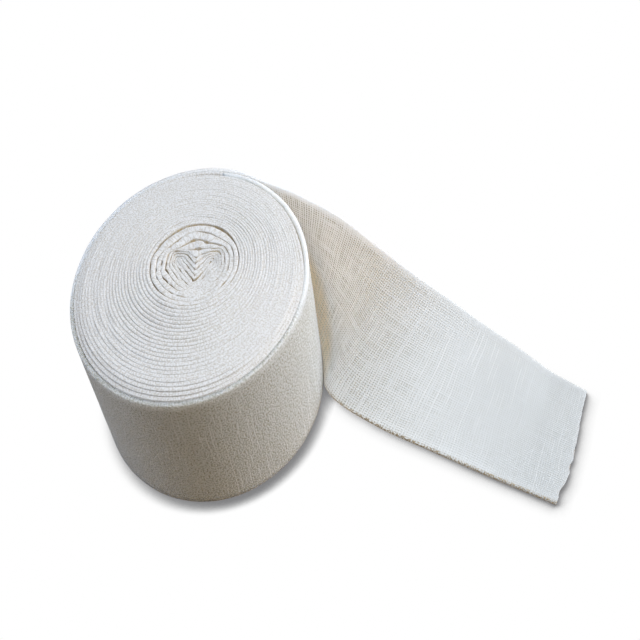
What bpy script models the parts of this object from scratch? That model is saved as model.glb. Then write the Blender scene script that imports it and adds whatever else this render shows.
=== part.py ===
"""Tubular gauze bandage: a soft, hand-wound roll that stands on its end, with its loose end laid out beside it.

Metres, +Z up. The origin is the middle of the roll's flat base, on the surface that it stands on, and -Y is
the front. Seen from above, the cloth is wound clockwise towards its loose end.
"""

import math
from collections import namedtuple

import bmesh
import bpy
from mathutils import Vector

COLLECTION_NAME = "tubular_gauze_bandage"

# The cloth: a knitted cotton tube, pressed flat and wound up
CLOTH_WIDTH = 0.100
CLOTH_THICKNESS = 0.0024
CLEARANCE = 0.0003

# The roll: a little deeper than wide, its top drawn back and sloping as hand-wound cloth does
ROLL_HEIGHT = CLOTH_WIDTH
ROLL_HALF_DEPTH = 0.0911
ROLL_HALF_WIDTH = 0.0783
ROLL_TURNED = math.radians(-7.6)
BASE_SPREAD = 1.02
TOP_DRAWN_BACK = 0.015
TOP_SLOPE_X = 0.09
TOP_SLOPE_Y = -0.03
SHOULDER_RADIUS = 0.006
FOOT_RADIUS = 0.004

# The core: wound first and loosely, behind the middle of the top face, inside a ring of slack
CORE_SHIFT = Vector((0.003, 0.009))
CORE_REACH = 0.36
SLACK_DEPTH = 0.005
SLACK_REACH = 0.025
TOP_DOME = 0.004
CORE_DIMPLE = 0.006

# The free end leaves the roll here, measured counter-clockwise from +X
LEAVING_ANGLE = math.radians(60.0)

ROLL_COLUMNS = 64
SHOULDER_STEPS = 4
WALL_STEPS = 4
FACE_STEPS = 15
END_RUN_STEPS = 44
END_WIDTH_STEPS = 8
EDGE_ROUNDING = 0.0008

# The loose end, in millimetres: where its foot edge stands on the surface and where its head edge is. It stands
# upright at the roll, leans over as it runs out, and lies flat at the cut end.
Station = namedtuple("Station", "foot_x foot_y head_x head_y head_z")
STATIONS = (
    Station(foot_x=47, foot_y=80, head_x=45, head_y=93, head_z=100),
    Station(foot_x=68, foot_y=56, head_x=72, head_y=76, head_z=100),
    Station(foot_x=80, foot_y=25, head_x=99, head_y=57, head_z=96),
    Station(foot_x=81, foot_y=-8, head_x=122, head_y=41, head_z=82),
    Station(foot_x=91, foot_y=-37, head_x=144, head_y=29, head_z=60),
    Station(foot_x=117, foot_y=-57, head_x=168, head_y=20, head_z=39),
    Station(foot_x=145, foot_y=-75, head_x=192, head_y=8, head_z=21),
    Station(foot_x=173, foot_y=-93, head_x=216, head_y=-7, head_z=8),
    Station(foot_x=196, foot_y=-107, head_x=239, head_y=-23, head_z=1.2),
    Station(foot_x=219, foot_y=-121, head_x=260, head_y=-38, head_z=1.2),
)


def roll_radius(angle):
    """The roll's outline from its own middle: an ellipse, one cloth thicker where the last turn ends."""
    own_angle = angle - ROLL_TURNED
    ellipse = (ROLL_HALF_WIDTH * ROLL_HALF_DEPTH) / math.hypot(
        ROLL_HALF_DEPTH * math.cos(own_angle), ROLL_HALF_WIDTH * math.sin(own_angle)
    )
    turned = round(math.degrees(angle - LEAVING_ANGLE), 3) % 360.0
    return ellipse - CLOTH_THICKNESS * turned / 360.0


def spread(height):
    """How much wider the roll is at a height, as a share of its outline at the rim."""
    return BASE_SPREAD + (1.0 - BASE_SPREAD) * height / ROLL_HEIGHT


def face_height(reach):
    """The top face from its middle, at reach 0, to its rim, at 1: a low dome with a core and a slack ring."""
    dome = TOP_DOME * (1.0 - reach**2)
    slack = SLACK_DEPTH * math.exp(-(((reach - CORE_REACH) / SLACK_REACH) ** 2))
    dimple = CORE_DIMPLE * math.exp(-((2.0 * reach / CORE_REACH) ** 2))
    return ROLL_HEIGHT + dome - slack - dimple


def roll_profile():
    """Half of the roll's section as (reach, height) pairs, from the middle of its base to that of its face."""
    middle_radius = math.sqrt(ROLL_HALF_DEPTH * ROLL_HALF_WIDTH)
    profile = [(0.0, 0.0), (0.5, 0.0)]
    for step in range(SHOULDER_STEPS + 1):
        turn = math.radians(90.0) * step / SHOULDER_STEPS
        inset = FOOT_RADIUS * (1.0 - math.sin(turn)) / middle_radius
        profile.append((1.0 - inset, FOOT_RADIUS * (1.0 - math.cos(turn))))
    wall = ROLL_HEIGHT - FOOT_RADIUS - SHOULDER_RADIUS
    for step in range(1, WALL_STEPS):
        profile.append((1.0, FOOT_RADIUS + wall * step / WALL_STEPS))
    shoulder_reach = 1.0 - SHOULDER_RADIUS / middle_radius
    for step in range(SHOULDER_STEPS + 1):
        turn = math.radians(90.0) * step / SHOULDER_STEPS
        inset = SHOULDER_RADIUS * (1.0 - math.cos(turn)) / middle_radius
        profile.append((1.0 - inset, ROLL_HEIGHT - SHOULDER_RADIUS * (1.0 - math.sin(turn))))
    for step in range(1, FACE_STEPS + 1):
        reach = shoulder_reach * (1.0 - step / FACE_STEPS)
        profile.append((reach, face_height(reach)))
    return profile


def lean_and_slope(x, y, height):
    """Draws the roll back towards its top and slopes its top face."""
    rise = height / ROLL_HEIGHT
    slope = TOP_SLOPE_X * x + TOP_SLOPE_Y * y
    return Vector((x, y + TOP_DRAWN_BACK * rise, height + slope * rise))


def place_on_roll(reach, angle, height):
    """A point of the roll, from its share of the outline, its angle and its height before the slope."""
    drift = CORE_SHIFT * (1.0 - reach) * height / ROLL_HEIGHT
    radius = reach * roll_radius(angle) * spread(height)
    return lean_and_slope(drift.x + radius * math.cos(angle), drift.y + radius * math.sin(angle), height)


def clear_of_roll(point):
    """Moves a point of the loose end's middle out to where the sheet lies against the roll."""
    height = min(max(point.z, 0.0), ROLL_HEIGHT)
    axis_y = TOP_DRAWN_BACK * height / ROLL_HEIGHT
    angle = math.atan2(point.y - axis_y, point.x)
    nearest = roll_radius(angle) * spread(height) + CLEARANCE + CLOTH_THICKNESS / 2
    radius = max(math.hypot(point.x, point.y - axis_y), nearest)
    return Vector((radius * math.cos(angle), axis_y + radius * math.sin(angle), point.z))


def smooth_through(points, share):
    """A Catmull-Rom curve through a list of points, read at a share of its length from 0 to 1."""
    place = share * (len(points) - 1)
    first = min(int(place), len(points) - 2)
    t = place - first
    before = points[max(first - 1, 0)]
    start = points[first]
    end = points[first + 1]
    after = points[min(first + 2, len(points) - 1)]
    return 0.5 * (
        2.0 * start
        + (end - before) * t
        + (2.0 * before - 5.0 * start + 4.0 * end - after) * t**2
        + (3.0 * start - before - 3.0 * end + after) * t**3
    )


def new_object(name, mesh_source, material, collection):
    """Turns a bmesh into a named object with its material."""
    mesh = bpy.data.meshes.new(name)
    mesh_source.to_mesh(mesh)
    mesh_source.free()
    mesh.materials.append(material)
    mesh.shade_smooth()
    piece = bpy.data.objects.new(name, mesh)
    collection.objects.link(piece)
    return piece


def cotton(name, colour):
    """Undyed cotton knit: matt, with no metal."""
    material = bpy.data.materials.new(name)
    material.use_nodes = True
    shader = material.node_tree.nodes["Principled BSDF"]
    shader.inputs["Base Color"].default_value = (*colour, 1.0)
    shader.inputs["Roughness"].default_value = 0.95
    shader.inputs["Metallic"].default_value = 0.0
    return material


def build_wound_roll(collection):
    """The roll as one turned solid, its profile spun and then set to the hand-wound outline."""
    mesh = bmesh.new()
    points = [mesh.verts.new((reach, 0.0, height)) for reach, height in roll_profile()]
    profile = [mesh.edges.new(pair) for pair in zip(points, points[1:])]
    bmesh.ops.spin(
        mesh,
        geom=points + profile,
        axis=(0.0, 0.0, 1.0),
        cent=(0.0, 0.0, 0.0),
        angle=math.tau,
        steps=ROLL_COLUMNS,
        use_merge=True,
    )
    bmesh.ops.remove_doubles(mesh, verts=mesh.verts, dist=0.00001)
    for vert in mesh.verts:
        reach = math.hypot(vert.co.x, vert.co.y)
        angle = math.atan2(vert.co.y, vert.co.x) + LEAVING_ANGLE
        vert.co = place_on_roll(reach, angle, vert.co.z)
    bmesh.ops.recalc_face_normals(mesh, faces=mesh.faces)
    return new_object("wound_roll", mesh, cotton("roll_cotton", (0.78, 0.75, 0.69)), collection)


def build_loose_end(collection):
    """The loose end as a sheet: a flat grid laid between the foot edge and the head edge, then given thickness."""
    half_sheet = CLOTH_THICKNESS / 2
    feet = [Vector((row.foot_x, row.foot_y, 0.0)) / 1000.0 for row in STATIONS]
    heads = [Vector((row.head_x, row.head_y, row.head_z)) / 1000.0 for row in STATIONS]
    mesh = bmesh.new()
    bmesh.ops.create_grid(mesh, x_segments=END_RUN_STEPS, y_segments=END_WIDTH_STEPS, size=0.5)
    for vert in mesh.verts:
        run = vert.co.x + 0.5
        across = vert.co.y + 0.5
        foot = smooth_through(feet, run) + Vector((0.0, 0.0, half_sheet))
        head = smooth_through(heads, run)
        head.z = max(head.z, half_sheet)
        vert.co = clear_of_roll(foot.lerp(head, across))
    piece = new_object("loose_end", mesh, cotton("end_cotton", (0.80, 0.78, 0.72)), collection)

    thickness = piece.modifiers.new("thickness", "SOLIDIFY")
    thickness.thickness = CLOTH_THICKNESS
    thickness.offset = 0.0
    rounding = piece.modifiers.new("rounding", "BEVEL")
    rounding.width = EDGE_ROUNDING
    rounding.segments = 2
    rounding.limit_method = "ANGLE"
    rounding.angle_limit = math.radians(60.0)
    return piece


def main():
    for old in list(bpy.data.objects):
        bpy.data.objects.remove(old)
    collection = bpy.data.collections.new(COLLECTION_NAME)
    bpy.context.scene.collection.children.link(collection)
    build_wound_roll(collection)
    build_loose_end(collection)


main()
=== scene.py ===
"""Tubular gauze bandage: the looks.

A knitted cotton tube, wound flat into a soft roll, with its loose end laid out. Metres, +Z up, in the frame
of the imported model: the origin is the middle of the roll's base and -Y is the front.
"""

import math
from collections import namedtuple

import bmesh
import bpy
from mathutils import Matrix, Vector, noise


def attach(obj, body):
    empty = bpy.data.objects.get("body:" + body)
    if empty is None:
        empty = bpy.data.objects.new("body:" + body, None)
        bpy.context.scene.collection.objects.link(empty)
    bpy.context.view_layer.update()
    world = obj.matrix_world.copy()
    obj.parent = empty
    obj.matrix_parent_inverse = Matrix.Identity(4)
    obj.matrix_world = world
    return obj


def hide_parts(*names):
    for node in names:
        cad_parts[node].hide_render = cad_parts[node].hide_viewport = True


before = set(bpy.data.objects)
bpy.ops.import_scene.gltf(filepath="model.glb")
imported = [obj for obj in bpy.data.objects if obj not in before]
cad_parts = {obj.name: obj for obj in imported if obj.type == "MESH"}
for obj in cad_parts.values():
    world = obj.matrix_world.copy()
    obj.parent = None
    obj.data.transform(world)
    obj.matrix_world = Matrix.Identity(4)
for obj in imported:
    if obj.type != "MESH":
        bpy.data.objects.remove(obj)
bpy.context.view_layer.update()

# ---------------------------------------------------------------- sizes

# The cloth: a tube pressed flat, two plies thick
CLOTH_WIDTH = 0.100
CLOTH_THICKNESS = 0.0024
FOLD_DEPTH = 0.0012
FOOT_FOLD_DEPTH = 0.0004
YARN_PITCH_ALONG = 0.00168
YARN_PITCH_ACROSS = 0.00165

# The roll's outline at its rim and at its foot
Oval = namedtuple("Oval", "middle half_width half_depth turned")
RIM = Oval(Vector((-0.0006, 0.0162)), 0.0792, 0.0943, math.radians(-7.4))
FOOT = Oval(Vector((0.0025, -0.0035)), 0.0788, 0.0945, math.radians(-10.0))
ROLL_HEIGHT = CLOTH_WIDTH
TOP_SLOPE_X = 0.09
TOP_SLOPE_Y = -0.03
TOP_DOME = 0.004

# The winding runs clockwise from the core out and is counted in turns
CORE_TURNS = 7.78
TURNS = 33.0
LEAVING_ANGLE = math.radians(60.0)
LAST_TURN = 1.04
OUTER_ROOM = 0.044

# The core: the cloth starts folded to a V, and the first turns go round that V
CORE_TIP = Vector((0.003, 0.012))
CORE_LEFT = Vector((-0.007, 0.031))
CORE_RIGHT = Vector((0.014, 0.026))
CORE_START = -0.45
CORE_FIRST = 0.0011
CORE_PITCH = 0.00225
CORE_DIMPLE = 0.0035
SLACK_RING = Oval(Vector((0.0025, 0.0245)), 0.0300, 0.0330, 0.0)
SLACK_GAP_BEHIND = 0.0010
SLACK_PITCH = 0.0024
THICKEST_IN_CORE = 0.0056
THINNER_PAST_CORE = 0.0027

# The outer turns stand off the rest at the back right
STAND_OFF = 0.0022
STAND_OFF_FROM = math.radians(-25.0)
STAND_OFF_TO = math.radians(125.0)
STAND_OFF_TURNS = 1.18

FREE_LENGTH = 0.283

# How finely the meshes are divided: steps along the cloth in metres, the least and most of a turn in one
# step, and rows up the inner ply, down the outer ply and over the head fold
WOUND_STEP = 0.0026
LOOSE_STEP = 0.0020
LEAST_STRIDE = 0.0024
MOST_STRIDE = 0.02
WOUND_ROWS = (2, 2, 8)
LOOSE_ROWS = (44, 44, 10)
MERGE_DISTANCE = 0.000002

# The loose end in millimetres, from the roll to the cut: its foot edge on the surface and its head edge
Station = namedtuple("Station", "foot_x foot_y head_x head_y head_z")
STATIONS = (
    Station(foot_x=47, foot_y=80, head_x=45, head_y=93, head_z=100),
    Station(foot_x=65, foot_y=60, head_x=72, head_y=76, head_z=100),
    Station(foot_x=75, foot_y=35, head_x=99, head_y=57, head_z=96),
    Station(foot_x=76, foot_y=4, head_x=122, head_y=41, head_z=82),
    Station(foot_x=82, foot_y=-26, head_x=144, head_y=29, head_z=64),
    Station(foot_x=111, foot_y=-53, head_x=168, head_y=20, head_z=42),
    Station(foot_x=144, foot_y=-74.5, head_x=192, head_y=8, head_z=23),
    Station(foot_x=174.5, foot_y=-94, head_x=216, head_y=-7, head_z=10),
    Station(foot_x=197.5, foot_y=-108, head_x=238, head_y=-25, head_z=1.2),
    Station(foot_x=219, foot_y=-121, head_x=257.5, head_y=-41.4, head_z=1.2),
)

# How far the cut edge runs out past a straight line, from the foot edge (0) to the head edge (1)
CUT_WAVE = (
    (0.00, 0.0), (0.12, 0.0), (0.21, 0.0025), (0.33, 0.0022), (0.50, 0.0021), (0.58, 0.0016), (0.67, 0.0011),
    (0.85, 0.0003), (1.00, 0.0),
)

Column = namedtuple("Column", "along foot head outward run thickness bead foot_bead fold foot_fold loose cut")


# ---------------------------------------------------------------- small sums

def smooth(low, high, value):
    """0 below low, 1 above high and a smooth rise between."""
    t = min(max((value - low) / (high - low), 0.0), 1.0)
    return t * t * (3.0 - 2.0 * t)


def wander(x, y, seed):
    """Smooth noise of about -1 to 1."""
    return noise.noise(Vector((x, y, seed)))


def heading(angle):
    """The direction of an angle, one unit long."""
    return Vector((math.cos(angle), math.sin(angle)))


def reach_of(oval, angle):
    """How far an oval's edge lies from its middle in one direction."""
    own = angle - oval.turned
    wide = oval.half_width
    deep = oval.half_depth
    return wide * deep / math.hypot(deep * math.cos(own), wide * math.sin(own))


# ---------------------------------------------------------------- the winding

def turn_angle(turn):
    """Where round the roll a place along the winding lies, counter-clockwise from +X."""
    return LEAVING_ANGLE + math.tau * (TURNS - turn)


def core_loop(share, away):
    """A point at a share of the way round the core's folded V, clockwise from its cleft, away from the V."""
    right_arm = (CORE_RIGHT - CORE_TIP).normalized()
    left_arm = (CORE_LEFT - CORE_TIP).normalized()
    right_out = Vector((right_arm.y, -right_arm.x))
    left_out = Vector((-left_arm.y, left_arm.x))
    between = (right_arm + left_arm).normalized()
    half = math.acos(right_arm.dot(left_arm)) / 2
    cleft = CORE_TIP + between * min(away / math.sin(half), 0.030)
    corners = (
        (0.00, cleft), (0.12, CORE_RIGHT - right_out * away), (0.20, CORE_RIGHT + right_arm * away),
        (0.30, CORE_RIGHT + right_out * away), (0.45, CORE_TIP + right_out * away),
        (0.50, CORE_TIP - between * away), (0.55, CORE_TIP + left_out * away),
        (0.70, CORE_LEFT + left_out * away), (0.80, CORE_LEFT + left_arm * away),
        (0.88, CORE_LEFT - left_out * away), (1.00, cleft),
    )
    share %= 1.0
    for (start, here), (end, there) in zip(corners, corners[1:]):
        if share <= end:
            return here.lerp(there, (share - start) / (end - start))
    return cleft.copy()


def slack_ring(angle, room):
    """A point on the ring round the core, moved in by room."""
    return SLACK_RING.middle + heading(angle) * (reach_of(SLACK_RING, angle) - room)


def bulge(angle, middle, spread):
    """1 in one direction, fading to 0 on both sides of it."""
    off = (angle - math.radians(middle) + math.pi) % math.tau - math.pi
    return math.exp(-((off / spread) ** 2))


def slack_gap(angle):
    """How far the core stands clear of the turns round it: most at the back."""
    return SLACK_GAP_BEHIND * bulge(angle, 105.0, 0.55)


def rim_point(turn):
    """The middle of the cloth at a place along the winding, in plan at the roll's upper edge."""
    angle = turn_angle(turn)
    if turn < CORE_TURNS:
        share = (math.pi / 2 - angle) / math.tau
        away = CORE_FIRST + CORE_PITCH * turn
        kinked = Vector((0.0, 0.0))
        for shift, weight in ((-0.030, 0.2), (-0.012, 0.2), (0.0, 0.2), (0.012, 0.2), (0.030, 0.2)):
            kinked += core_loop(share + shift * smooth(0.0, 6.0, turn + 2.0), away) * weight
        room = slack_gap(angle) + SLACK_PITCH * max(CORE_TURNS - turn, 0.0)
        round_loop = slack_ring(angle, room)
        point = kinked.lerp(round_loop, smooth(2.5, CORE_TURNS + 0.5, turn))
        unruly = 0.0009 * (1.0 - smooth(CORE_TURNS - 2.0, CORE_TURNS, turn))
        x, y = 260.0 * point.x, 260.0 * point.y
        point += Vector((wander(x, y, 2.0), wander(x, y, 7.0))) * unruly
        return point
    out = (turn - CORE_TURNS) / (TURNS - 1.0 - CORE_TURNS)
    outermost = max(out - 1.0, 0.0) * (TURNS - 1.0 - CORE_TURNS)
    step_off = smooth(0.0, 0.12, turn - CORE_TURNS)
    inner = slack_ring(angle, slack_gap(angle) * (1.0 - step_off) - 0.0002 * step_off)
    reach = reach_of(RIM, angle) * (1.0 - OUTER_ROOM * (1.0 - outermost)) - CLOTH_THICKNESS / 2
    rim = RIM.middle + heading(angle) * reach
    point = inner.lerp(rim, min(out, 1.0))
    away = (point - RIM.middle).length
    uneven = 0.0005 * wander(1.5 * math.cos(angle), 1.5 * math.sin(angle), 0.30 * turn)
    uneven *= 1.0 - smooth(TURNS - 2.5, TURNS - 1.5, turn)
    pressed = stand_off(turn, angle) + uneven
    return point + (RIM.middle - point) * (pressed / max(away, 0.001))


def slack_behind(angle):
    """1 where the outer turn stands off the rest, and 0 where it lies close."""
    around = (angle - STAND_OFF_FROM) % math.tau
    span = STAND_OFF_TO - STAND_OFF_FROM
    return smooth(0.0, 0.35 * span, around) * (1.0 - smooth(0.6 * span, span, around))


def stand_off(turn, angle):
    """How far a turn lies inside its place, behind the slack outer ones."""
    if turn > TURNS - STAND_OFF_TURNS:
        return 0.0
    return STAND_OFF * slack_behind(angle) * smooth(TURNS - 14.0, TURNS - 2.0, turn)


def winding(turn, rise):
    """The middle of the cloth at a place along the winding, in plan, at a rise of 0 (foot) to 1 (rim)."""
    rim = rim_point(turn)
    angle = turn_angle(turn)
    ratio = reach_of(FOOT, angle) / reach_of(RIM, angle)
    settled = FOOT.middle + (rim - RIM.middle) * ratio
    settled.y -= 0.008 * (1.0 - smooth(0.0, TURNS, turn))
    return settled.lerp(rim, rise)


def head_height(turn, angle, place):
    """The height of a turn's folded upper edge: a low dome, rounded off at the rim and dipped at the core."""
    reach = min((place - Vector((RIM.middle.x, RIM.middle.y, 0.0))).length / reach_of(RIM, angle), 1.0)
    dome = TOP_DOME * (1.0 - reach**2)
    dimple = CORE_DIMPLE * (1.0 - smooth(0.0, CORE_TURNS, turn))
    shoulder = 0.5 - 0.5 * math.sin(angle + math.radians(15.0))
    rounding = (0.0006 + 0.0026 * shoulder) * smooth(TURNS - 5.0, TURNS - 0.3, turn) ** 1.5
    uneven = 0.0004 * wander(60.0 * place.x, 60.0 * place.y, 1.7 * turn)
    in_core = 1.0 - smooth(CORE_TURNS, CORE_TURNS + 3.0, turn)
    uneven += 0.0007 * wander(170.0 * place.x, 170.0 * place.y, 5.0) * in_core
    slope = TOP_SLOPE_X * place.x + TOP_SLOPE_Y * place.y
    return ROLL_HEIGHT + dome - dimple - rounding + uneven + slope


def wound_column(turn, along):
    """Foot, head and thickness of the wound cloth at a place along the winding."""
    foot = winding(turn, 0.0)
    head = winding(turn, 1.0)
    run = (winding(turn + 0.003, 1.0) - winding(turn - 0.003, 1.0)).normalized()
    outward = Vector((-run.y, run.x, 0.0))
    normal = outward.to_2d()
    gap_in = abs((winding(turn - 1.0, 1.0) - head).dot(normal)) if turn > 0.6 else CORE_PITCH
    gap_out = abs((winding(turn + 1.0, 1.0) - head).dot(normal)) if turn < TURNS - 1.0 else gap_in
    thickest = THICKEST_IN_CORE - THINNER_PAST_CORE * smooth(CORE_TURNS - 1.5, CORE_TURNS + 1.0, turn)
    room = min(gap_out, gap_in, thickest)
    loose = smooth(TURNS - 1.30, TURNS - 1.05, turn)
    slack = slack_behind(turn_angle(turn))
    bead = min(gap_in - CLOTH_THICKNESS / 2 - 0.0006 * slack + 0.0008 * (1.0 - slack), 0.0034)
    squashed = 1.0 - smooth(0.0021, 0.0027, room)
    ragged = 0.9 + 0.6 * wander(140.0 * head.x, 140.0 * head.y, 3.1 * turn)
    flattened = 1.0 - 0.45 * smooth(2.0, 3.5, turn) * (1.0 - smooth(CORE_TURNS - 1.0, CORE_TURNS + 1.0, turn))
    shallow = 1.45 - 1.1 * smooth(13.0, 26.0, turn)
    from_core = head - SLACK_RING.middle
    quiet = smooth(-0.006, 0.010, from_core.x - from_core.y)
    quiet *= 1.0 - smooth(CORE_TURNS - 0.6, CORE_TURNS + 0.6, turn)
    shallow *= (1.0 - 0.3 * (1.0 - smooth(CORE_TURNS, CORE_TURNS + 1.5, turn))) * (1.0 - 0.6 * quiet)
    foot_height = 0.0
    if turn < TURNS - 1.2:
        foot_height = 0.0004 + 0.0003 * wander(25.0 * foot.x, 25.0 * foot.y, 2.3 * turn)
    fold = FOLD_DEPTH * (0.8 - 0.5 * squashed) * ragged * flattened * shallow * (1.0 - loose) + 0.0019 * loose
    return Column(
        along=along,
        foot=Vector((foot.x, foot.y, foot_height)),
        head=Vector((head.x, head.y, head_height(turn, turn_angle(turn), head.to_3d()))),
        outward=outward,
        run=run.to_3d(),
        thickness=room * 0.998,
        bead=bead,
        foot_bead=CLOTH_THICKNESS / 2,
        fold=fold,
        foot_fold=FOOT_FOLD_DEPTH,
        loose=loose,
        cut=0.0,
    )


def wound_columns(first_turn, last_turn, step):
    """Columns of the wound cloth at even steps along its length, from one turn to another."""
    columns = []
    turn = first_turn
    along = 0.0
    while turn < last_turn:
        columns.append(wound_column(turn, along))
        pace = (winding(turn + 0.001, 0.5) - winding(turn, 0.5)).length / 0.001
        stride = min(max(step / max(pace, 0.01), LEAST_STRIDE), MOST_STRIDE)
        along += stride * pace
        turn += stride
    columns.append(wound_column(last_turn, along))
    return columns


# ---------------------------------------------------------------- the loose end

def smooth_through(points, share):
    """A Catmull-Rom curve through a list of points, read at a share of its length from 0 to 1."""
    place = share * (len(points) - 1)
    first = min(int(place), len(points) - 2)
    t = place - first
    before = points[max(first - 1, 0)]
    start = points[first]
    end = points[first + 1]
    after = points[min(first + 2, len(points) - 1)]
    return 0.5 * (
        2.0 * start
        + (end - before) * t
        + (2.0 * before - 5.0 * start + 4.0 * end - after) * t**2
        + (3.0 * start - before - 3.0 * end + after) * t**3
    )


def clear_of_roll(point):
    """Moves a point of the free cloth's middle out to where it lies against the roll."""
    rise = min(max(point.z / ROLL_HEIGHT, 0.0), 1.0)
    middle = FOOT.middle.lerp(RIM.middle, rise)
    from_middle = point.to_2d() - middle
    angle = math.atan2(from_middle.y, from_middle.x)
    edge = reach_of(FOOT, angle) * (1.0 - rise) + reach_of(RIM, angle) * rise
    turned = ((LEAVING_ANGLE - angle) % math.tau) / math.tau
    nearest = edge * (1.0 - OUTER_ROOM * (1.0 - turned)) + CLOTH_THICKNESS / 2 - 0.0005
    away = middle + heading(angle) * max(from_middle.length, nearest)
    return Vector((away.x, away.y, point.z))


def free_columns(along, joint):
    """Columns of the loose end, from the roll to the cut. joint is the last wound column."""
    feet = [Vector((row.foot_x, row.foot_y, 0.0)) / 1000.0 for row in STATIONS]
    heads = [Vector((row.head_x, row.head_y, row.head_z)) / 1000.0 for row in STATIONS]
    count = int(FREE_LENGTH / LOOSE_STEP)
    foot_shift = joint.foot - clear_of_roll(feet[0])
    head_shift = joint.head - clear_of_roll(heads[0])
    edges = []
    for index in range(count + 1):
        share = index / count
        settle = 1.0 - smooth(0.0, 0.22, share)
        foot = clear_of_roll(smooth_through(feet, share)) + foot_shift * settle
        head = clear_of_roll(smooth_through(heads, share)) + head_shift * settle
        lean = min(max(head.z / CLOTH_WIDTH, 0.0), 1.0)
        foot.z = CLOTH_THICKNESS / 2 * math.sqrt(1.0 - lean**2) + 0.0005 * smooth(0.25, 0.45, share)
        head.z = max(head.z, CLOTH_THICKNESS / 2)
        edges.append((along + share * FREE_LENGTH, foot, head))
    columns = []
    for index in range(1, count + 1):
        place, foot, head = edges[index]
        before = edges[index - 1]
        after = edges[min(index + 1, count)]
        run = ((after[1] + after[2]) - (before[1] + before[2])).normalized()
        outward = (head - foot).cross(run).normalized()
        settle = smooth(0.0, 0.12, index / count)
        bead = joint.bead + (CLOTH_THICKNESS * 0.62 - joint.bead) * settle
        fold = joint.fold + (0.0014 - joint.fold) * settle
        columns.append(Column(
            along=place,
            foot=foot,
            head=head,
            outward=outward,
            run=run,
            thickness=CLOTH_THICKNESS * 0.95,
            bead=bead,
            foot_bead=CLOTH_THICKNESS / 2 + 0.0018 * settle * (1.0 - smooth(0.36, 0.44, index / count)),
            fold=fold,
            foot_fold=FOOT_FOLD_DEPTH + 0.0010 * smooth(0.25, 0.45, index / count),
            loose=1.0,
            cut=smooth(count - 8, count, index),
        ))
    return columns


# ---------------------------------------------------------------- cloth meshes

def section(rows):
    """The flattened tube's section as (out, up, rise) rows, closed through its foot fold.

    It starts at the foot fold, goes up the inner ply, over the head fold and down the outer ply. out is -1 to
    1 across the thickness, up is 0 to 1 of the width and rise is the folds' own, -1 to 1.
    """
    inner, outer, fold = rows
    made = []
    for index in range(fold // 2):
        turn = math.pi / 2 * index / (fold // 2)
        made.append((-math.sin(turn), 0.0, -math.cos(turn)))
    for index in range(inner + 1):
        made.append((-1.0, index / inner, 0.0))
    for index in range(1, fold):
        turn = math.pi * index / fold
        made.append((-math.cos(turn), 1.0, math.sin(turn)))
    for index in range(outer + 1):
        made.append((1.0, 1.0 - index / outer, 0.0))
    for index in range(1, fold // 2 + 1):
        turn = math.pi / 2 * index / (fold // 2)
        made.append((math.cos(turn), 0.0, -math.sin(turn)))
    return made


def girth_of(ring):
    """The distance round the flat tube of each row of its section."""
    length = [0.0]
    for before, here in zip(ring, ring[1:]):
        across = (here[1] - before[1]) * CLOTH_WIDTH
        rise = (here[2] - before[2]) * FOLD_DEPTH
        over = (here[0] - before[0]) * CLOTH_THICKNESS / 2
        length.append(length[-1] + math.sqrt(across**2 + rise**2 + over**2))
    return length


def tube_of_cloth(columns, rows, shape):
    """A flat grid of cloth wrapped into the tube that the columns and the section give."""
    ring = section(rows)
    girth = girth_of(ring)
    mesh = bmesh.new()
    flat = mesh.loops.layers.uv.new("UVMap")
    bmesh.ops.create_grid(mesh, x_segments=len(columns) - 1, y_segments=len(ring) - 1, size=0.5)
    for vert in mesh.verts:
        vert.co.x = round((vert.co.x + 0.5) * (len(columns) - 1))
        vert.co.y = round((vert.co.y + 0.5) * (len(ring) - 1))
    for face in mesh.faces:
        for loop in face.loops:
            loop[flat].uv = (columns[int(loop.vert.co.x)].along, girth[int(loop.vert.co.y)])
    for vert in mesh.verts:
        column = columns[int(vert.co.x)]
        row = int(vert.co.y)
        vert.co = shape(column, *ring[row], girth[row])
    bmesh.ops.remove_doubles(mesh, verts=mesh.verts, dist=MERGE_DISTANCE)
    bmesh.ops.holes_fill(mesh, edges=[edge for edge in mesh.edges if edge.is_boundary], sides=0)
    return mesh


def wound_shape(column, out, up, rise, girth):
    """A point of the tightly wound cloth: square-shouldered folds that press on their neighbours."""
    across = (column.head - column.foot).normalized()
    squared = math.copysign(abs(out) ** 0.6, out)
    start = column.foot + across * column.foot_fold
    end = column.head - across * column.fold
    over = rise * (column.fold if up > 0.5 else column.foot_fold)
    return start.lerp(end, up) + across * over + column.outward * (squared * column.thickness / 2)


def cut_edge(up):
    """How far the cut runs out past a straight line, with the small waves of loosened yarns."""
    for (low, near), (high, far) in zip(CUT_WAVE, CUT_WAVE[1:]):
        if up <= high:
            plain = near + (far - near) * smooth(low, high, up)
            return plain + 0.0010 * wander(17.0 * up, 0.0, 6.0) + 0.0004 * wander(30.0 * up, 0.0, 2.0)
    return 0.0


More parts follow.
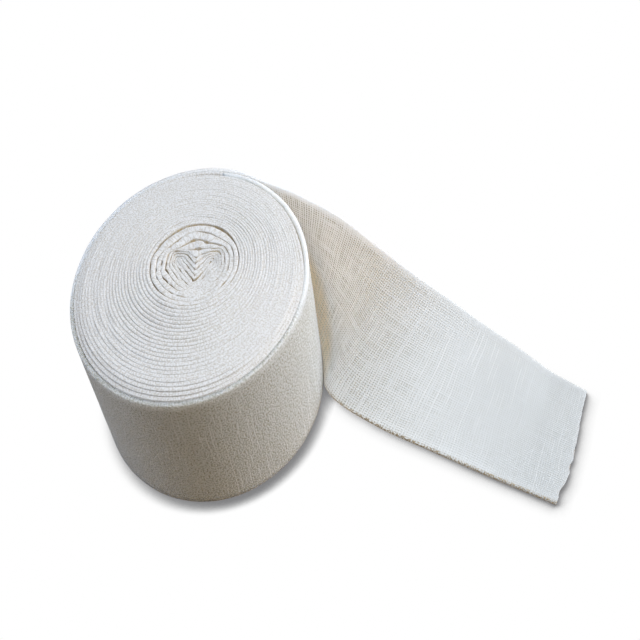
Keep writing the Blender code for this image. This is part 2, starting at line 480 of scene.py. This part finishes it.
def loose_shape(column, out, up, rise, girth):
    """A point of the loose cloth: puffed folds, and plies that lift and dip softly between them."""
    tight = wound_shape(column, out, up, rise, girth)
    across = (column.head - column.foot).normalized()
    start = column.foot + across * column.foot_fold
    end = column.head - across * column.fold
    over = rise * (column.fold if up > 0.5 else column.foot_fold)
    wall = CLOTH_THICKNESS / 2
    top = math.exp(-(((1.0 - up) * CLOTH_WIDTH / 0.005) ** 2))
    bottom = math.exp(-((up * CLOTH_WIDTH / 0.0028) ** 2)) * smooth(0.0005, 0.0013, column.foot_fold)
    knobs = 0.30 + 0.45 * wander(column.along * 420.0, 2.0 * out, 3.0)
    swell = 0.10 * wander(column.along * 60.0, girth * 60.0, 4.0)
    tucked = math.exp(-((up * CLOTH_WIDTH / 0.005) ** 2))
    inward = (column.bead - wall) * top + (column.foot_bead - wall) * tucked
    half = wall * (0.95 + knobs * bottom + swell) + max(inward, 0.0) * (0.5 - 0.5 * out)
    if out < 0.0 and up > 0.5:
        out = -(abs(out) ** 0.6)
    puffed = start.lerp(end, up) + across * over + column.outward * (out * half)
    puffed += column.run * (column.cut * cut_edge(up))
    return tight.lerp(puffed, column.loose)


def finish_piece(name, mesh, material):
    """Turns a bmesh into a smooth-shaded object with one material."""
    bmesh.ops.recalc_face_normals(mesh, faces=mesh.faces)
    data = bpy.data.meshes.new(name)
    mesh.to_mesh(data)
    mesh.free()
    data.materials.append(material)
    data.shade_smooth()
    piece = bpy.data.objects.new(name, data)
    bpy.context.scene.collection.objects.link(piece)
    return piece


# ---------------------------------------------------------------- materials

def add(tree, kind, **settings):
    """Adds a node, sets its properties and returns it."""
    node = tree.nodes.new(kind)
    for name, value in settings.items():
        setattr(node, name, value)
    return node


def feed(tree, socket, value):
    """Sets an input socket, or links it if the value is another node's output."""
    if isinstance(value, bpy.types.NodeSocket):
        tree.links.new(value, socket)
    else:
        socket.default_value = value


def sum_of(tree, operation, *values):
    """A Math node's result."""
    node = add(tree, "ShaderNodeMath", operation=operation)
    for socket, value in zip(node.inputs, values):
        feed(tree, socket, value)
    return node.outputs[0]


def ramp(tree, value, low, high, to_low=0.0, to_high=1.0):
    """A value mapped smoothly from one range to another and held at its ends."""
    node = add(tree, "ShaderNodeMapRange", interpolation_type="SMOOTHSTEP")
    names = ("Value", "From Min", "From Max", "To Min", "To Max")
    for name, number in zip(names, (value, low, high, to_low, to_high)):
        feed(tree, node.inputs[name], number)
    return node.outputs["Result"]


def speckle(tree, u, v, scale_u, scale_v, seed, detail=0.0):
    """Noise of 0 to 1 on flat cloth, with its own scale along and across."""
    place = add(tree, "ShaderNodeCombineXYZ")
    feed(tree, place.inputs[0], sum_of(tree, "MULTIPLY", u, scale_u))
    feed(tree, place.inputs[1], sum_of(tree, "MULTIPLY", v, scale_v))
    feed(tree, place.inputs[2], seed)
    node = add(tree, "ShaderNodeTexNoise", noise_dimensions="3D")
    feed(tree, node.inputs["Vector"], place.outputs[0])
    feed(tree, node.inputs["Scale"], 1.0)
    feed(tree, node.inputs["Detail"], detail)
    return node.outputs["Fac"]


def yarn(tree, place, pitch):
    """0 between yarns and 1 along the middle of each."""
    turn = sum_of(tree, "MULTIPLY", sum_of(tree, "DIVIDE", place, pitch), math.tau)
    return sum_of(tree, "MULTIPLY_ADD", sum_of(tree, "COSINE", turn), 0.5, 0.5)


def gauze_group():
    """Open gauze with uneven yarns: reads the flat cloth's own metres."""
    tree = bpy.data.node_groups.new("gauze_weave", "ShaderNodeTree")
    face = tree.interface
    face.new_socket("Flat Cloth", in_out="INPUT", socket_type="NodeSocketVector")
    pitches = (("Pitch Along", YARN_PITCH_ALONG), ("Pitch Across", YARN_PITCH_ACROSS))
    for name, value in pitches + (("Order", 1.0), ("Slubs", 1.0)):
        socket = face.new_socket(name, in_out="INPUT", socket_type="NodeSocketFloat")
        socket.default_value = value
    for name in ("Opening", "Slub", "Grain", "Height"):
        face.new_socket(name, in_out="OUTPUT", socket_type="NodeSocketFloat")
    given = add(tree, "NodeGroupInput")
    result = add(tree, "NodeGroupOutput")
    parts = add(tree, "ShaderNodeSeparateXYZ")
    tree.links.new(given.outputs["Flat Cloth"], parts.inputs[0])
    u, v = parts.outputs[0], parts.outputs[1]
    drift_u = sum_of(tree, "MULTIPLY_ADD", speckle(tree, u, v, 40.0, 30.0, 3.0), 0.0036, -0.0018)
    drift_v = sum_of(tree, "MULTIPLY_ADD", speckle(tree, u, v, 30.0, 50.0, 11.0), 0.0030, -0.0015)
    bent_u = sum_of(tree, "ADD", u, drift_u)
    bent_v = sum_of(tree, "ADD", v, drift_v)
    thick = speckle(tree, bent_u, v, 560.0, 45.0, 5.0)
    thin = speckle(tree, u, bent_v, 40.0, 560.0, 8.0)
    grain = speckle(tree, u, v, 840.0, 840.0, 2.0, 1.0)
    cross_yarn = sum_of(tree, "MULTIPLY_ADD", thick, 1.35, yarn(tree, bent_u, given.outputs["Pitch Along"]))
    long_yarn = sum_of(tree, "MULTIPLY_ADD", thin, 1.35, yarn(tree, bent_v, given.outputs["Pitch Across"]))
    orderly = sum_of(tree, "SUBTRACT", sum_of(tree, "MAXIMUM", cross_yarn, long_yarn), 0.72)
    orderly = sum_of(tree, "MULTIPLY_ADD", grain, 0.5, sum_of(tree, "SUBTRACT", orderly, 0.25))
    loose = sum_of(tree, "MULTIPLY_ADD", grain, 3.0, -1.05)
    cover = add(tree, "ShaderNodeMix", data_type="FLOAT")
    feed(tree, cover.inputs["Factor"], given.outputs["Order"])
    feed(tree, cover.inputs["A"], loose)
    feed(tree, cover.inputs["B"], orderly)
    covered = cover.outputs["Result"]
    opening = ramp(tree, covered, 0.20, 0.62, 1.0, 0.0)
    every_other = yarn(tree, bent_u, sum_of(tree, "MULTIPLY", given.outputs["Pitch Along"], 2.0))
    present = ramp(tree, speckle(tree, bent_u, v, 260.0, 30.0, 21.0), 0.48, 0.60)
    slub = sum_of(tree, "MULTIPLY", sum_of(tree, "POWER", every_other, 11.0), present)
    slub = sum_of(tree, "MULTIPLY", slub, given.outputs["Slubs"])
    height = sum_of(tree, "MULTIPLY_ADD", slub, 0.8, ramp(tree, covered, 0.2, 1.0))
    for name, value in (("Opening", opening), ("Slub", slub), ("Grain", grain), ("Height", height)):
        feed(tree, result.inputs[name], value)
    return tree


def mixed(tree, share, first, second):
    """A colour between two, by a share."""
    node = add(tree, "ShaderNodeMix", data_type="RGBA")
    feed(tree, node.inputs["Factor"], share)
    feed(tree, node.inputs["A"], first)
    feed(tree, node.inputs["B"], second)
    return node.outputs["Result"]


# Colours of the cloth: the roll's; the loose end's, the same cotton made lighter as painted light where the
# loose end stands beside the roll; a grey that tones the outermost turn to the roll's cotton and is painted
# shade on the loose end's flat far part; the slub threads'. Then painted shade seen through the open weave on
# the roll, also used for stitches and flecks, and between the loose end's yarns; painted warm shade down
# between the turns; and painted warm shade and bounced light where the loose end faces the roll
COTTON = (0.616, 0.604, 0.582, 1.0)
LIT_LOOSE_COTTON = (0.93, 0.945, 0.925, 1.0)
TONE_AND_SHADE_COTTON = (0.48, 0.49, 0.475, 1.0)
SLUB_COTTON = (0.96, 0.95, 0.92, 1.0)
GAP_SHADE_AND_STITCHES = (0.31, 0.24, 0.14, 1.0)
GAP_SHADE_BETWEEN_YARNS = (0.30, 0.28, 0.20, 1.0)
SHADE_BETWEEN_TURNS = (0.49, 0.385, 0.23, 1.0)
SHADED_COTTON = (0.90, 0.71, 0.49, 1.0)

# How far round the flat tube the middle of its head fold lies: past half the foot fold's rows, the inner
# ply's, and half the head fold's
HEAD_FOLD = girth_of(section(WOUND_ROWS))[WOUND_ROWS[2] // 2 + WOUND_ROWS[0] + WOUND_ROWS[2] // 2]


def cotton(name, gauze, yarns, gap_shade, shaded, relief, read_place):
    """Unbleached cotton gauze: the colours of its yarns, of the painted shade in its openings and of its
    other painted shade, and how deep its relief is.

    read_place gives how open, ordered and slubbed the cloth is, how much painted shade it takes between turns
    and facing the roll, how stitched, how much light comes through it and how much grey tone and painted
    shade it takes.
    """
    material = bpy.data.materials.new(name)
    material.use_nodes = True
    tree = material.node_tree
    shader = tree.nodes["Principled BSDF"]
    shader.inputs["Roughness"].default_value = 0.92
    shader.inputs["Specular IOR Level"].default_value = 0.25
    shader.inputs["Sheen Weight"].default_value = 0.15
    shader.inputs["Sheen Roughness"].default_value = 0.6
    shader.inputs["Subsurface Radius"].default_value = (1.0, 0.94, 0.86)
    shader.inputs["Subsurface Scale"].default_value = 0.014
    flat = add(tree, "ShaderNodeUVMap", uv_map="UVMap")
    weave = add(tree, "ShaderNodeGroup", node_tree=gauze)
    tree.links.new(flat.outputs["UV"], weave.inputs["Flat Cloth"])
    parts = add(tree, "ShaderNodeSeparateXYZ")
    tree.links.new(flat.outputs["UV"], parts.inputs[0])
    u, v = parts.outputs[0], parts.outputs[1]
    openness, order, slubs, painted_shade, stitched, see_through, tone_and_shade = read_place(tree, u, v)
    feed(tree, weave.inputs["Order"], order)
    feed(tree, weave.inputs["Slubs"], slubs)
    feed(tree, shader.inputs["Subsurface Weight"], see_through)
    # The cotton toned grey, with painted shade on the flat far part of the loose end
    plain = mixed(tree, tone_and_shade, yarns, TONE_AND_SHADE_COTTON)
    # Painted shade between the turns and where the loose end faces the roll
    colour = mixed(tree, painted_shade, plain, shaded)
    # Painted shade seen through the weave's openings
    colour = mixed(tree, sum_of(tree, "MULTIPLY", weave.outputs["Opening"], openness), colour, gap_shade)
    colour = mixed(tree, weave.outputs["Slub"], colour, SLUB_COTTON)
    stitches = sum_of(tree, "MULTIPLY", ramp(tree, weave.outputs["Grain"], 0.46, 0.56), stitched)
    colour = mixed(tree, stitches, colour, GAP_SHADE_AND_STITCHES)
    feed(tree, shader.inputs["Base Color"], colour)
    bump = add(tree, "ShaderNodeBump")
    bump.inputs["Strength"].default_value = 0.7
    bump.inputs["Distance"].default_value = relief
    raised = sum_of(tree, "MULTIPLY_ADD", openness, 0.9, 0.1)
    raised = sum_of(tree, "MULTIPLY", weave.outputs["Height"], raised)
    tree.links.new(raised, bump.inputs["Height"])
    tree.links.new(bump.outputs["Normal"], shader.inputs["Normal"])
    return material


def away_from(tree, value, place):
    """The distance between a value and a place."""
    return sum_of(tree, "ABSOLUTE", sum_of(tree, "SUBTRACT", value, place))


# ---------------------------------------------------------------- building

def build_cloth():
    """The wound turns and the loose cloth, in place of the model's two solids."""
    gauze = gauze_group()
    split = TURNS - LAST_TURN
    wound = wound_columns(CORE_START, split, WOUND_STEP)
    length = wound[-1].along

    def within_the_roll(tree, u, v):
        """Plain on the folded upper edges, with painted warm shade between the turns, less of it at the
        outside.
        """
        from_fold = away_from(tree, v, HEAD_FOLD)
        # Painted warm shade down between the turns, less of it on the outer turns and broken into dashes
        outer = ramp(tree, u, length - 6.0, length - 1.5, 0.0, 0.0018)
        painted_shade = ramp(tree, sum_of(tree, "SUBTRACT", from_fold, outer), 0.0010, 0.0030)
        dashes = ramp(tree, speckle(tree, u, v, 260.0, 0.0, 14.0), 0.40, 0.60, 0.45, 1.0)
        return 0.40, 0.2, 0.12, sum_of(tree, "MULTIPLY", painted_shade, dashes), 0.0, 0.0, 0.0

    roll = finish_piece(
        "wound_turns",
        tube_of_cloth(wound, WOUND_ROWS, wound_shape),
        cotton("wound_cotton", gauze, COTTON, GAP_SHADE_AND_STITCHES, SHADE_BETWEEN_TURNS, 0.00022, within_the_roll),
    )

    last = wound_columns(split, TURNS, LOOSE_STEP)
    last = [column._replace(along=column.along + length) for column in last]
    leaves = last[-1].along
    free = free_columns(leaves, last[-1])

    def past_the_roll(tree, u, v):
        """Open weave that closes towards the cut, plain on the folds, with painted warm shade where it faces
        the roll.
        """
        right_side = (leaves - 0.43, leaves - 0.33)
        at_fold = ramp(tree, away_from(tree, v, HEAD_FOLD), 0.0028, 0.0070, 1.0, 0.0)
        pressed = ramp(tree, away_from(tree, u, leaves - 0.29), 0.09, 0.14, 0.3, 1.0)
        at_fold = sum_of(tree, "MULTIPLY", at_fold, pressed)
        openness = ramp(tree, u, leaves + 0.07, leaves + 0.21, 1.0, 0.18)
        openness = sum_of(tree, "MULTIPLY", openness, sum_of(tree, "MULTIPLY_ADD", at_fold, -0.85, 1.0))
        order = ramp(tree, u, leaves - 0.01, leaves + 0.03, 0.05, 1.0)
        slubs = ramp(tree, away_from(tree, v, HEAD_FOLD), 0.003, 0.012, 0.05, 1.0)
        streaked = ramp(tree, u, leaves - 0.36, leaves - 0.24, 0.75, 0.25)
        streaked = sum_of(tree, "MAXIMUM", streaked, ramp(tree, u, leaves - 0.05, leaves + 0.02))
        patchy = ramp(tree, speckle(tree, u, v, 24.0, 9.0, 31.0), 0.40, 0.60, 0.25, 1.0)
        slubs = sum_of(tree, "MULTIPLY", slubs, sum_of(tree, "MULTIPLY", streaked, patchy))
        slubs = sum_of(tree, "MULTIPLY", slubs, ramp(tree, u, leaves + 0.02, leaves + 0.22, 0.7, 0.16))
        # Painted warm shade and bounced light on the inner ply where it faces the roll
        inner = ramp(tree, v, HEAD_FOLD - 0.0055, HEAD_FOLD - 0.0030, 1.0, 0.0)
        rise = sum_of(tree, "DIVIDE", v, HEAD_FOLD)
        parting = sum_of(tree, "SUBTRACT", u, sum_of(tree, "MULTIPLY_ADD", rise, -0.137, leaves + 0.125))
        shade_facing_roll = ramp(tree, parting, -0.020, 0.004, 0.9, 0.0)
        foot_fold = ramp(tree, v, 0.0020, 0.0032, 1.0, 0.0)
        stitched = sum_of(tree, "MULTIPLY", foot_fold, ramp(tree, u, leaves + 0.10, leaves + 0.15, 0.0, 0.9))
        flecked = sum_of(tree, "MULTIPLY_ADD", at_fold, -0.5, 0.5)
        flecked = sum_of(tree, "MULTIPLY", flecked, ramp(tree, u, leaves - 0.03, leaves + 0.02, 1.0, 0.0))
        flecked = sum_of(tree, "MULTIPLY", flecked, ramp(tree, u, *right_side, 0.35, 1.0))
        stitched = sum_of(tree, "MAXIMUM", stitched, flecked)
        shade_facing_roll = sum_of(tree, "MULTIPLY", inner, shade_facing_roll)
        see_through = ramp(tree, u, leaves + 0.09, leaves + 0.17, 0.9, 0.15)
        # Painted shade: the flat far part greyed; the outer turn greyed to the roll's cotton on the right, a
        # little less round the front, left and back as painted light
        tone_and_shade = ramp(tree, sum_of(tree, "MULTIPLY_ADD", rise, 0.06, u), leaves + 0.08, leaves + 0.28)
        at_right = ramp(tree, u, *right_side, 0.72, 0.56)
        wound = ramp(tree, u, leaves - 0.03, leaves + 0.03, 1.0, 0.0)
        tone_and_shade = sum_of(tree, "MAXIMUM", tone_and_shade, sum_of(tree, "MULTIPLY", at_right, wound))
        return openness, order, slubs, shade_facing_roll, stitched, see_through, tone_and_shade

    end = finish_piece(
        "loose_cloth",
        tube_of_cloth(last + free, LOOSE_ROWS, loose_shape),
        cotton("loose_cotton", gauze, LIT_LOOSE_COTTON, GAP_SHADE_BETWEEN_YARNS, SHADED_COTTON, 0.0005, past_the_roll),
    )
    for piece in (roll, end):
        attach(piece, "root")
    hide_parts("wound_roll")
    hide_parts("loose_end")


# The floor's size, its colour as the camera sees it, the painted shadow's colour close to the cloth, the
# colour it throws back, and how far and towards which side the painted shadow reaches
FLOOR_SIZE = 3.0
FLOOR_PALE = (1.0, 1.0, 1.0, 1.0)
FLOOR_SHADED = (0.22, 0.22, 0.225, 1.0)
FLOOR_BOUNCE = (0.49, 0.36, 0.22, 1.0)
SHADE_REACH = 0.0105
SHADE_SIDE = (-0.36, 0.92, 0.10)


def build_stage():
    """A pale floor with a painted shadow close to the cloth, and warm in what it throws back."""
    floor = bmesh.new()
    bmesh.ops.create_grid(floor, x_segments=1, y_segments=1, size=FLOOR_SIZE)
    data = bpy.data.meshes.new("floor")
    floor.to_mesh(data)
    floor.free()
    piece = bpy.data.objects.new("floor", data)
    bpy.context.scene.collection.objects.link(piece)
    material = bpy.data.materials.new("pale_floor")
    material.use_nodes = True
    tree = material.node_tree
    tree.nodes.clear()
    towards = add(tree, "ShaderNodeCombineXYZ")
    for socket, value in zip(towards.inputs, SHADE_SIDE):
        socket.default_value = value
    # Painted shadow: darker where ambient occlusion finds the cloth close on the given side; only camera rays
    # see it
    near = add(tree, "ShaderNodeAmbientOcclusion", samples=16)
    near.inputs["Distance"].default_value = SHADE_REACH
    tree.links.new(towards.outputs[0], near.inputs["Normal"])
    seen = add(tree, "ShaderNodeEmission")
    shade = ramp(tree, near.outputs["AO"], 0.53, 0.975)
    feed(tree, seen.inputs["Color"], mixed(tree, shade, FLOOR_SHADED, FLOOR_PALE))
    bounced = add(tree, "ShaderNodeBsdfDiffuse")
    bounced.inputs["Color"].default_value = FLOOR_BOUNCE
    path = add(tree, "ShaderNodeLightPath")
    mix = add(tree, "ShaderNodeMixShader")
    out = add(tree, "ShaderNodeOutputMaterial")
    tree.links.new(path.outputs["Is Camera Ray"], mix.inputs["Fac"])
    tree.links.new(bounced.outputs["BSDF"], mix.inputs[1])
    tree.links.new(seen.outputs["Emission"], mix.inputs[2])
    tree.links.new(mix.outputs["Shader"], out.inputs["Surface"])
    data.materials.append(material)


LIT_POINT = (0.05, 0.0, 0.05)
SEEN_WORLD = 1.0
LIGHTING_WORLD = 0.02


def softbox(name, place, size, power, colour):
    """A rectangular area light that faces the bandage and isn't seen itself."""
    light = bpy.data.lights.new(name, "AREA")
    light.shape = "RECTANGLE"
    light.size, light.size_y = size
    light.energy = power
    light.color = colour
    lamp = bpy.data.objects.new(name, light)
    lamp.location = place
    lamp.rotation_mode = "QUATERNION"
    lamp.rotation_quaternion = (Vector(place) - Vector(LIT_POINT)).to_track_quat("Z", "Y")
    lamp.visible_camera = False
    bpy.context.scene.collection.objects.link(lamp)


def build_lights():
    """Soft boxes above, at the right and at the left, and a world that shows white and lights little."""
    softbox("overhead", (0.35, 0.0, 1.0), (0.6, 0.6), 9.2, (0.79, 0.88, 1.0))
    softbox("overhead_front", (0.05, -0.35, 1.0), (0.6, 0.6), 2.8, (1.0, 0.84, 0.66))
    softbox("right", (1.2, 0.1, 0.45), (0.7, 0.7), 12.6, (0.86, 0.89, 1.0))
    softbox("right_back", (0.9, 0.9, 0.6), (0.6, 0.6), 5.6, (0.97, 0.96, 0.92))
    softbox("left", (-1.2, 0.1, 0.5), (0.7, 0.7), 9.2, (0.58, 0.73, 1.0))
    world = bpy.data.worlds.new("studio")
    world.use_nodes = True
    tree = world.node_tree
    tree.nodes["Background"].inputs["Color"].default_value = (1.0, 1.0, 1.0, 1.0)
    path = add(tree, "ShaderNodeLightPath")
    strength = ramp(tree, path.outputs["Is Camera Ray"], 0.0, 1.0, LIGHTING_WORLD, SEEN_WORLD)
    feed(tree, tree.nodes["Background"].inputs["Strength"], strength)
    bpy.context.scene.world = world


CAMERA_PLACE = (0.0795, -0.3428, 0.5874)
LOOKS_DOWN = math.radians(57.0)
CAMERA_ROLL = math.radians(-5.54)
SENSOR_WIDTH = 36.0
LENS = 53.6


def build_camera():
    """The camera, above the front and rolled a little."""
    data = bpy.data.cameras.new("camera")
    data.sensor_width = SENSOR_WIDTH
    data.lens = LENS
    camera = bpy.data.objects.new("camera", data)
    camera.matrix_world = (
        Matrix.Translation(CAMERA_PLACE)
        @ Matrix.Rotation(math.pi / 2 - LOOKS_DOWN, 4, "X")
        @ Matrix.Rotation(CAMERA_ROLL, 4, "Z")
    )
    bpy.context.scene.collection.objects.link(camera)
    bpy.context.scene.camera = camera
    bpy.context.scene.view_settings.view_transform = "Standard"


build_cloth()
build_stage()
build_lights()
build_camera()
